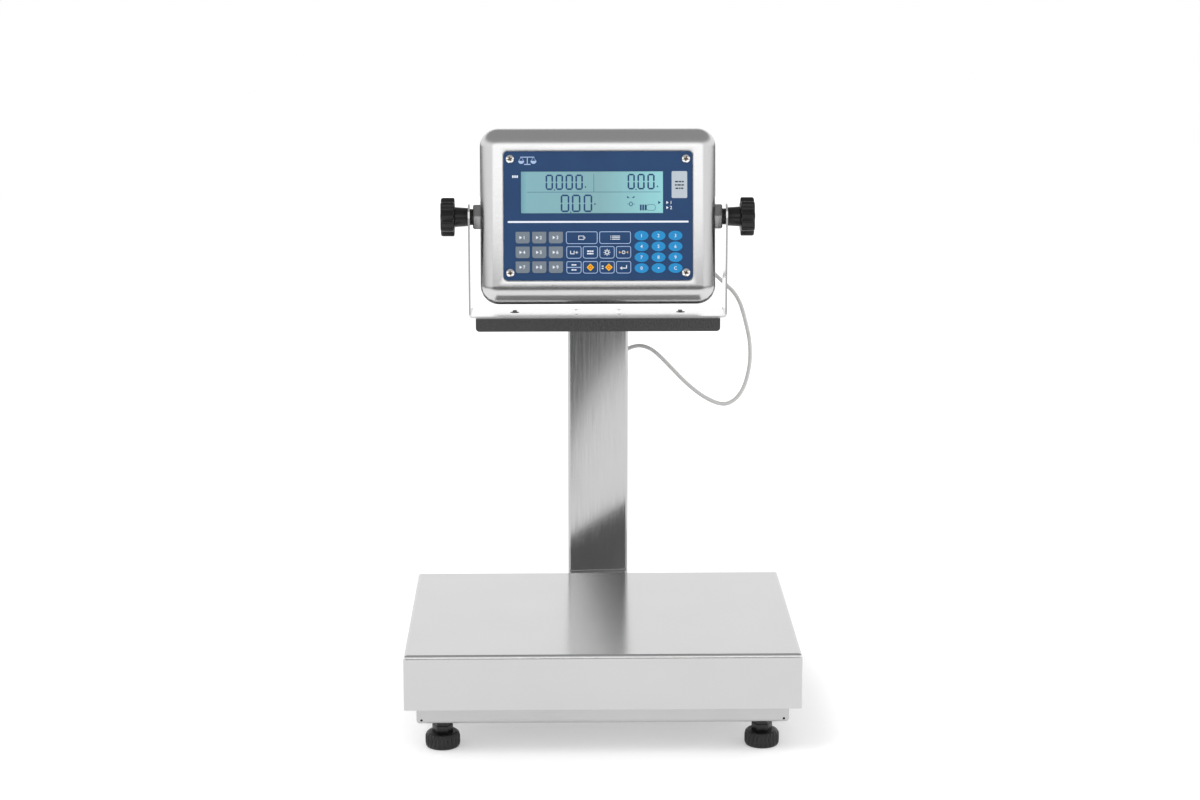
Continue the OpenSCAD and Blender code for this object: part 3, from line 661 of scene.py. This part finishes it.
def arrow_and_number(bm, x, y, z, number):
    """Small triangle in front of a number."""
    flat(bm, [(x - 3.4, y - 1.8), (x - 0.7, y), (x - 3.4, y + 1.8)], z, 2)
    glyph(bm, number, 3.7, x + 1.6, y, z, 2, 0.07)


def tag_mark(bm, x, y, z):
    outer = [(x - 3.6, y - 2.2), (x + 2, y - 2.2), (x + 4, y), (x + 2, y + 2.2), (x - 3.6, y + 2.2)]
    inner = [(x - 3, y - 1.6), (x + 1.7, y - 1.6), (x + 3.2, y), (x + 1.7, y + 1.6), (x - 3, y + 1.6)]
    band(bm, outer, inner, z, 2)
    flat(bm, circle(0.5, 12, x + 1.6, y), z, 2)


def list_mark(bm, x, y, z):
    for row in (-1.7, 0, 1.7):
        bar(bm, x - 4.6, y + row, 0.9, 0.7, z, 2)
        bar(bm, x + 1, y + row, 8.6, 0.7, z, 2)


def memory_mark(bm, x, y, z):
    bar(bm, x - 3.6, y, 0.8, 3.6, z, 2)
    bar(bm, x + 0.2, y, 0.8, 3.6, z, 2)
    bar(bm, x - 1.7, y - 1.5, 3.8, 0.8, z, 2)
    bar(bm, x + 3, y, 2.8, 0.8, z, 2)
    bar(bm, x + 3, y, 0.8, 2.8, z, 2)


def rows_mark(bm, x, y, z):
    for row, widths in ((1.3, (2.6, 1.4, 2)), (-1.3, (1.6, 3, 1.4))):
        left = x - (sum(widths) + 0.8) / 2
        for w in widths:
            bar(bm, left + w / 2, y + row, w, 1.5, z, 2)
            left += w + 0.4


def sun_mark(bm, x, y, z):
    band(bm, circle(2.1, 24, x, y), circle(1.3, 24, x, y), z, 2)
    for k in range(8):
        a = math.radians(45 * k)
        c, s = math.cos(a), math.sin(a)
        spoke = [(2.2, -0.35), (3.7, -0.35), (3.7, 0.35), (2.2, 0.35)]
        flat(bm, [(x + c * p - s * q, y + s * p + c * q) for p, q in spoke], z, 2)


def zero_mark(bm, x, y, z):
    band(bm, circle(1.9, 24, x, y), circle(1.2, 24, x, y), z, 2)
    for side in (-1, 1):
        flat(bm, [(x + side * 3, y), (x + side * 4.8, y - 1.3), (x + side * 4.8, y + 1.3)][::side], z, 3)


def split_mark(bm, x, y, z):
    bar(bm, x, y, 15, 0.9, z, 1)
    for row, widths in ((2.7, (1.5, 1.5, 1.5)), (-2.7, (2, 1, 1.6))):
        left = x - (sum(widths) + 0.6) / 2
        for w in widths:
            bar(bm, left + w / 2, y + row, w, 1.4, z, 2)
            left += w + 0.3


def diamond_mark(bm, x, y, z):
    flat(bm, [(x - 4, y), (x, y - 4), (x + 4, y), (x, y + 4)], z, 3)
    flat(bm, [(x - 2.6, y), (x, y - 2.6), (x + 2.6, y), (x, y + 2.6)], z + 0.02, 4)
    flat(bm, circle(0.8, 12, x, y), z + 0.04, 3)


def pair_mark(bm, x, y, z):
    bar(bm, x - 4.8, y + 1.2, 2, 1.1, z, 2)
    bar(bm, x - 4.8, y - 1.2, 2, 1.1, z, 2)
    diamond_mark(bm, x + 1.9, y, z)


def return_mark(bm, x, y, z):
    bar(bm, x + 0.4, y - 0.9, 5.6, 0.9, z, 2)
    bar(bm, x + 3.2, y + 0.6, 0.9, 3.4, z, 2)
    flat(bm, [(x - 4, y - 0.9), (x - 1.6, y - 2.7), (x - 1.6, y + 0.9)], z, 2)


def point_mark(bm, x, y, z):
    flat(bm, circle(0.8, 16, x, y), z, 2)


LEGENDS = {"key_price": tag_mark, "key_lookup": list_mark, "key_memory_plus": memory_mark,
           "key_text": rows_mark, "key_setup": sun_mark, "key_tare": zero_mark, "key_split": split_mark,
           "key_diamond": diamond_mark, "key_mark": pair_mark, "key_total": return_mark,
           "key_point": point_mark}


def make_key(node):
    """One key: its raised film cap and its legend."""
    low, high = box_in(CASE, node)
    w, h = high.x - low.x, high.y - low.y
    x, y = (low.x + high.x) / 2, (low.y + high.y) / 2
    name = node[len("key_"):]
    digit = name in ("point", "clear") or name.isdigit()
    memory = name[0] == "p" and name[1:].isdigit()
    bm = bmesh.new()
    top = film_z + PROUD + LEGEND

    def outline_of(grow):
        if digit:
            return ellipse(w + 2 * grow, h + 2 * grow, 48, x, y)
        high_r, low_r = (0.8, 2.8) if memory else (2, 3)
        return round_rect(w + 2 * grow, h + 2 * grow, high_r + grow, 6, low_r + grow, x, y)

    cap(bm, outline_of)
    if digit or memory:
        flat(bm, outline_of(-0.05), top, 1)
    else:
        band(bm, outline_of(-0.05), outline_of(-0.75), top, 1)
    legend_z = top + LEGEND
    if memory:
        arrow_and_number(bm, x, y, legend_z, name[1:])
    elif node in LEGENDS:
        LEGENDS[node](bm, x, y, legend_z)
    else:
        glyph(bm, "C" if name == "clear" else name, 3.6, x, y, legend_z, 2, 0.03)
    face = key_blue if digit else key_grey if memory else ink_pale
    slot = "key_blue" if digit else "key_grey" if memory else "key_navy"
    piece = new_piece(f"cap_{name}", bm, CASE, [panel_film, face, ink_white, ink_yellow, ink_orange])
    stand_in(piece, node, slot, node)


for node in sorted(NODES):
    if node.startswith("key_"):
        make_key(node)


def make_panel_print():
    """Printed line, plain rating plate and small marks on the keypad film."""
    z = film_z + LEGEND
    bm = bmesh.new()
    line = round_rect(195, 2, 0.9, 4, cy=-6.4)
    flat(bm, line, z, 0)
    flat(bm, round_rect(16.8, 28.9, 1.5, 6, cx=87.7, cy=33.4), z, 1)
    for row, widths in ((36.6, (3.4, 2.6, 2)), (33, (2, 3.6, 2.6)), (29.4, (3, 1.6, 2.4))):
        left = 87.7 - (sum(widths) + 1.4) / 2
        for w in widths:
            bar(bm, left + w / 2, row, w, 1.5, z + 0.04, 2)
            left += w + 0.7
    for x in (-91.6, -89.3, -87):
        bar(bm, x, 42.3, 1.6, 2.6, z, 0)
    for row, number in ((14.2, "1"), (8.7, "2")):
        flat(bm, [(73.6, row - 1.6), (76, row), (73.6, row + 1.6)], z, 0)
        glyph(bm, number, 3.6, 78.6, row, z, 0, 0.05)
    balance_mark(bm, -76, 59.8, z, 3)
    piece = new_piece("panel_print", bm, CASE, [ink_white, plate_paper, ink_dark, ink_pale])
    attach(piece, "indicator")


def balance_mark(bm, x, y, z, slot):
    """Plain pictogram of a balance, a beam with two pans on a post."""
    bar(bm, x, y + 3.4, 15, 0.9, z, slot)
    bar(bm, x, y - 0.4, 0.9, 7.6, z, slot)
    bar(bm, x, y - 4.4, 7, 1.0, z, slot)
    for side in (-1, 1):
        cx = x + side * 6.6
        flat(bm, [(cx - 3.2, y - 0.6)] + arc(cx, y - 0.6, 3.2, 180, 360, 10), z, slot)
        for lean in (-1, 1):
            flat(bm, [(cx + lean * 2.8, y - 0.6), (cx + lean * 2.3, y - 0.6), (cx, y + 3.2),
                      (cx + lean * 0.4, y + 3.2)], z, slot)


make_panel_print()

# ---- knobs, feet and glands ----


def make_knob(node, side):
    """Star knob with its hub and stud; side is -1 on the left and 1 on the right."""
    low, high = box_in(CASE, node)
    reach = max(abs(low.x), abs(high.x))
    head_r, head_h, hub_h, edge, lobes, steps = 21, 15, 15, 2.4, 8, 12
    head_start = reach - head_h
    hub_start = head_start - hub_h
    bm = bmesh.new()
    hub = [(9.6, 0), (10, 0.6), (10.9, head_start - hub_start - 0.8), (12.5, head_start - hub_start + 0.1)]
    rings = [at_height(lobed(r, 0, lobes, steps), z) for r, z in hub]
    base = head_start - hub_start
    for i in range(5):
        a = math.radians(90 * i / 4)
        outline = lobed(head_r - edge * (1 - math.sin(a)), 4 * (0.75 + 0.25 * math.sin(a)), lobes, steps)
        rings.append(at_height(outline, base + edge * (1 - math.cos(a)) * 0.5))
    for i in range(7):
        a = math.radians(90 * i / 6)
        outline = lobed(head_r - edge * (1 - math.cos(a)), 4 - 0.5 * math.sin(a), lobes, steps)
        rings.append(at_height(outline, base + head_h - edge + edge * math.sin(a)))
    rings.append(at_height(lobed(13, 0.6, lobes, steps), base + head_h))
    rings.append(at_height(lobed(12.4, 0, lobes, steps), base + head_h - 0.8))
    rings.append(at_height(lobed(3, 0, lobes, steps), base + head_h - 1.0))
    loft(bm, rings)
    loft(bm, [at_height(circle(3.95, 24), -19), at_height(circle(3.95, 24), 0.5)], 1)
    turn = Matrix.Rotation(math.radians(90 * side), 4, "Y")
    place = CASE @ Matrix.Translation((side * hub_start, 0, 0)) @ turn
    stand_in(new_piece(f"star_{node}", bm, place, [knob_plastic, bolt_steel]), node, "knob_plastic", node)


make_knob("knob_left", -1)
make_knob("knob_right", 1)


def make_foot(node):
    """Levelling foot: a ribbed pad, a hexagon collar and a ringed stud."""
    low, high = box_in(PLATFORM, node)
    x, y = (low.x + high.x) / 2, (low.y + high.y) / 2
    r, pad_h, collar_h = (high.x - low.x) / 2, 16, 8
    ribs, steps = 24, 6
    bm = bmesh.new()
    profile = [(r - 2.2, 0, 0), (r - 1.2, 0, 0.5), (r - 0.5, 0, 1.6), (r - 0.35, 0, 2.4), (r, 1.2, 3.4),
               (r, 1.4, 8), (r - 0.1, 1.4, 11.6), (r - 0.5, 1.1, 13.2), (r - 1.4, 0.4, 14.9),
               (r - 2.8, 0, 15.8), (r - 4.4, 0, pad_h)]
    loft(bm, [at_height(lobed(radius, dip, ribs, steps), z) for radius, dip, z in profile])
    collar = [(10.6, pad_h - 0.4), (10.8, pad_h + 0.4), (10.8, pad_h + collar_h - 1), (9.8, pad_h + collar_h)]
    loft(bm, [at_height(round_hex(radius), z) for radius, z in collar])
    stud = []
    pitch = 1.5
    z = pad_h + collar_h - 0.5
    while z < high.z - pitch:
        stud += [(5.4, z), (6, z + pitch / 2)]
        z += pitch
    loft(bm, [at_height(circle(radius, 24), height) for radius, height in stud + [(5.4, high.z)]], 1)
    place = PLATFORM @ Matrix.Translation((x, y, 0))
    foot = new_piece(f"levelling_{node}", bm, place, [foot_plastic, bolt_steel])
    stand_in(foot, node, "foot_plastic", node)


for node in sorted(NODES):
    if node.startswith("foot_"):
        make_foot(node)


def add_screw(bm, place, r=4.5, h=2.4):
    """Domed head with a cross recess, standing on the plane z 0 of the given place."""
    rings, turns = 14, 64
    grid = []
    for i in range(rings + 1):
        reach = r * (i / rings) ** 0.8
        row = []
        for j in range(turns):
            a = 2 * math.pi * j / turns
            x, y = reach * math.cos(a), reach * math.sin(a)
            dome = h - (h - 0.7) * (reach / r) ** 2.6
            across, along = sorted((abs(x), abs(y)))
            inside = max(0.0, min(1.0, (0.75 - across) / 0.25)) * max(0.0, min(1.0, (2.5 - along) / 0.5))
            row.append((bm.verts.new(place @ Vector((x, y, dome - 1.1 * inside))), inside > 0.5))
        grid.append(row)
    for inner, outer in zip(grid, grid[1:]):
        for j in range(turns):
            k = (j + 1) % turns
            corners = (inner[j], outer[j], outer[k], inner[k])
            face = bm.faces.new([corner for corner, _ in corners])
            # Faces deep in the recess take the brown-grey that paints its shade.
            face.material_index = 1 if sum(deep for _, deep in corners) > 2 else 0
    bm.faces.new([vertex for vertex, _ in grid[0]]).material_index = 1
    skirt = [bm.verts.new(place @ Vector((r * math.cos(a), r * math.sin(a), 0)))
             for a in [2 * math.pi * j / turns for j in range(turns)]]
    for j in range(turns):
        k = (j + 1) % turns
        bm.faces.new([grid[-1][j][0], skirt[j], skirt[k], grid[-1][k][0]])
    bm.faces.new(skirt[::-1])


def make_screws():
    """Four screws in the keypad panel and four in the rear cover."""
    bm = bmesh.new()
    low, high = box_in(CASE, "pan_screws")
    rear_x, rear_y = high.x - 4.5, high.y - 4.5
    over = Matrix.Rotation(math.pi, 4, "Y")
    for sx in (-1, 1):
        for sy in (-1, 1):
            turn = Matrix.Rotation(0.5 * sx + 0.9 * sy, 4, "Z")
            add_screw(bm, Matrix.Translation((94.8 * sx, 61.2 * sy, film_z)) @ turn)
            add_screw(bm, Matrix.Translation((rear_x * sx, rear_y * sy, REAR)) @ over @ turn)
    piece = new_piece("case_screws", bm, CASE, [screw_steel, screw_recess_brown_and_shade], 50)
    stand_in(piece, "indicator", "screw_steel", "pan_screws")


make_screws()


def add_gland(bm, length):
    """Hexagon base, ribbed dome nut and soft throat, standing on the plane z 0."""
    loft(bm, [at_height(circle(6, 32), -8), at_height(circle(6, 32), 0.4)])
    loft(bm, [at_height(round_hex(9.2, 0.6), z) for z in (0, 4)])
    dome = [(7.6, 0.35, 3.6), (7.6, 0.35, length - 6), (7, 0.2, length - 4), (5.8, 0, length - 2.6)]
    dome += [(4.2, 0, length - 1.6), (3.4, 0, length)]
    loft(bm, [at_height(lobed(radius, dip, 16, 4), z) for radius, dip, z in dome])


def make_glands():
    """Cable glands on the rear cover and on the column's rear face."""
    turned = Matrix.Rotation(math.pi, 4, "Y")
    bm = bmesh.new()
    add_gland(bm, 18)
    place = CASE @ Matrix.Translation((95, -42, REAR)) @ turned
    gland = new_piece("case_gland", bm, place, [gland_plastic])
    stand_in(gland, "indicator", "gland_plastic", "indicator_gland")
    low, high = box_in(AXIS, "column_gland")
    bm = bmesh.new()
    add_gland(bm, 14)
    back = Matrix.Rotation(math.radians(-90), 4, "X")
    place = AXIS @ Matrix.Translation(((low.x + high.x) / 2, high.y - 14, (low.z + high.z) / 2)) @ back
    stand_in(new_piece("post_gland", bm, place, [gland_plastic]), "base", "gland_plastic", "column_gland")


make_glands()

# ---- finishes of the CAD nodes that stay ----

KEPT = {"base_tray": tray_steel, "load_cell": cell_aluminium, "hex_bolts": bolt_steel,
        "platter_support": cast_aluminium, "support_buffers": rubber, "column_bracket": tray_steel,
        "column": column_steel, "head_plate": head_paint, "u_bracket": bracket_steel,
        "bracket_screws": screw_steel, "gasket": rubber, "overlay": panel_film,
        "main_board": board_green, "pivot_washers": washer_plastic, "lock_nuts": foot_plastic}
ROUNDED = {"head_plate": 2.2, "u_bracket": 0.3, "column": 0.3, "base_tray": 0.4, "lock_nuts": 0.6,
           "platter_support": 1.0, "load_cell": 0.4, "column_bracket": 0.5}


def dress(node, material):
    """Gives a CAD node its material and, if it is listed as rounded, softened edges with hardened normals."""
    body = NODES[node]
    body.data.materials.clear()
    body.data.materials.append(material)
    if node in ROUNDED:
        soften = body.modifiers.new("soften", "BEVEL")
        soften.width = ROUNDED[node] * MM
        soften.segments = 3
        soften.limit_method = "ANGLE"
        soften.angle_limit = math.radians(40)
        soften.harden_normals = True


for node, material in KEPT.items():
    dress(node, material)


def cut_edges(node, material, upright):
    """Duller cut edges facing front and rear: paler as a painted highlight, darker on upright ones as painted
    shade.
    """
    tall = 0.02
    mesh = NODES[node].data
    mesh.materials.append(material)
    mesh.materials.append(upright)
    for polygon in mesh.polygons:
        if abs(polygon.normal.y) > 0.9:
            heights = [mesh.vertices[i].co.z for i in polygon.vertices]
            polygon.material_index = 2 if max(heights) - min(heights) > tall else 1


cut_edges("u_bracket", bracket_edge_painted_light, bracket_edge_painted_shade)

# ---- studio ----


def stage_plane(name, corners, material):
    """Flat sheet that belongs to the studio and not to the scale."""
    bm = bmesh.new()
    bm.faces.new([bm.verts.new(p) for p in corners])
    plane = new_piece(name, bm, Matrix.Identity(4), [material])
    return plane


def glow(name, level):
    """Even emission."""
    material = bpy.data.materials.new(name)
    material.use_nodes = True
    nodes, links = material.node_tree.nodes, material.node_tree.links
    nodes.clear()
    lamp = nodes.new("ShaderNodeEmission")
    lamp.inputs["Strength"].default_value = level
    output = nodes.new("ShaderNodeOutputMaterial")
    links.new(lamp.outputs["Emission"], output.inputs["Surface"])
    return material


def make_floor():
    """Plain pale table. It ends in front of the scale, and the room beyond it is dim."""
    half_w, front, rear = 3, -1.7, 4
    corners = [(-half_w, front, 0), (half_w, front, 0), (half_w, rear, 0), (-half_w, rear, 0)]
    paint = finish("floor_paint", (0.72, 0.72, 0.72), 0, 0.9, 0.01, 2, 0.02, 60, (1, 1, 1), 0.02,
                   Emission_Color=(1, 1, 1, 1), Emission_Strength=0.35, Specular_IOR_Level=0.0)
    stage_plane("studio_floor", corners, paint)


def card(name, y, half_w, low, high, material):
    """Upright card across the studio that only glossy surfaces see."""
    corners = [(-half_w, y, low), (half_w, y, low), (half_w, y, high), (-half_w, y, high)]
    sheet = stage_plane(name, corners, material)
    sheet.visible_camera = False
    sheet.visible_diffuse = False
    sheet.visible_transmission = False
    sheet.visible_shadow = False


def make_cards():
    """An even softbox in front of the scale, and an even dark flag below it."""
    front, half_w, flag_low, edge, softbox_high = -1.3, 1.0, 0.15, 0.7, 1.2
    card("softbox", front, half_w, edge, softbox_high, glow("softbox_glow", 1.8))
    card("flag", front, half_w, flag_low, edge, glow("flag_glow", 0.12))


def make_world():
    """White for the camera and for matt surfaces, and a sky that is paler near the horizon for gloss."""
    world = bpy.data.worlds.new("studio")
    bpy.context.scene.world = world
    world.use_nodes = True
    world.cycles.sampling_method = "NONE"
    nodes, links = world.node_tree.nodes, world.node_tree.links
    place = nodes.new("ShaderNodeTexCoord")
    split = nodes.new("ShaderNodeSeparateXYZ")
    height = nodes.new("ShaderNodeMapRange")
    height.inputs["From Min"].default_value = -1
    sky = nodes.new("ShaderNodeValToRGB")
    stops = ((-0.05, 0.15), (0.05, 1.15), (0.35, 1.15), (0.6, 0.4))
    while len(sky.color_ramp.elements) < len(stops):
        sky.color_ramp.elements.new(0.5)
    for element, (rise_to, level) in zip(sky.color_ramp.elements, stops):
        element.position = (rise_to + 1) / 2
        element.color = (level, level, level, 1)
    ray = nodes.new("ShaderNodeLightPath")
    links.new(place.outputs["Generated"], split.inputs["Vector"])
    links.new(split.outputs["Z"], height.inputs["Value"])
    links.new(height.outputs["Result"], sky.inputs["Fac"])
    color = sky.outputs["Color"]
    for kind in ("Is Diffuse Ray", "Is Camera Ray"):
        choice = nodes.new("ShaderNodeMixRGB")
        choice.inputs["Color2"].default_value = (1, 1, 1, 1)
        links.new(ray.outputs[kind], choice.inputs["Fac"])
        links.new(color, choice.inputs["Color1"])
        color = choice.outputs["Color"]
    links.new(color, nodes["Background"].inputs["Color"])


def make_key_light():
    """Large soft light from the upper left, in front."""
    data = bpy.data.lights.new("key_light", "SUN")
    data.energy = 0.9
    data.angle = math.radians(24)
    light = bpy.data.objects.new("key_light", data)
    bpy.context.scene.collection.objects.link(light)
    light.rotation_euler = Vector((0.5, 0.45, -1)).to_track_quat("-Z", "Y").to_euler()
    light.visible_glossy = False


bpy.context.scene.view_settings.view_transform = "Standard"
make_floor()
make_cards()
make_world()
make_key_light()
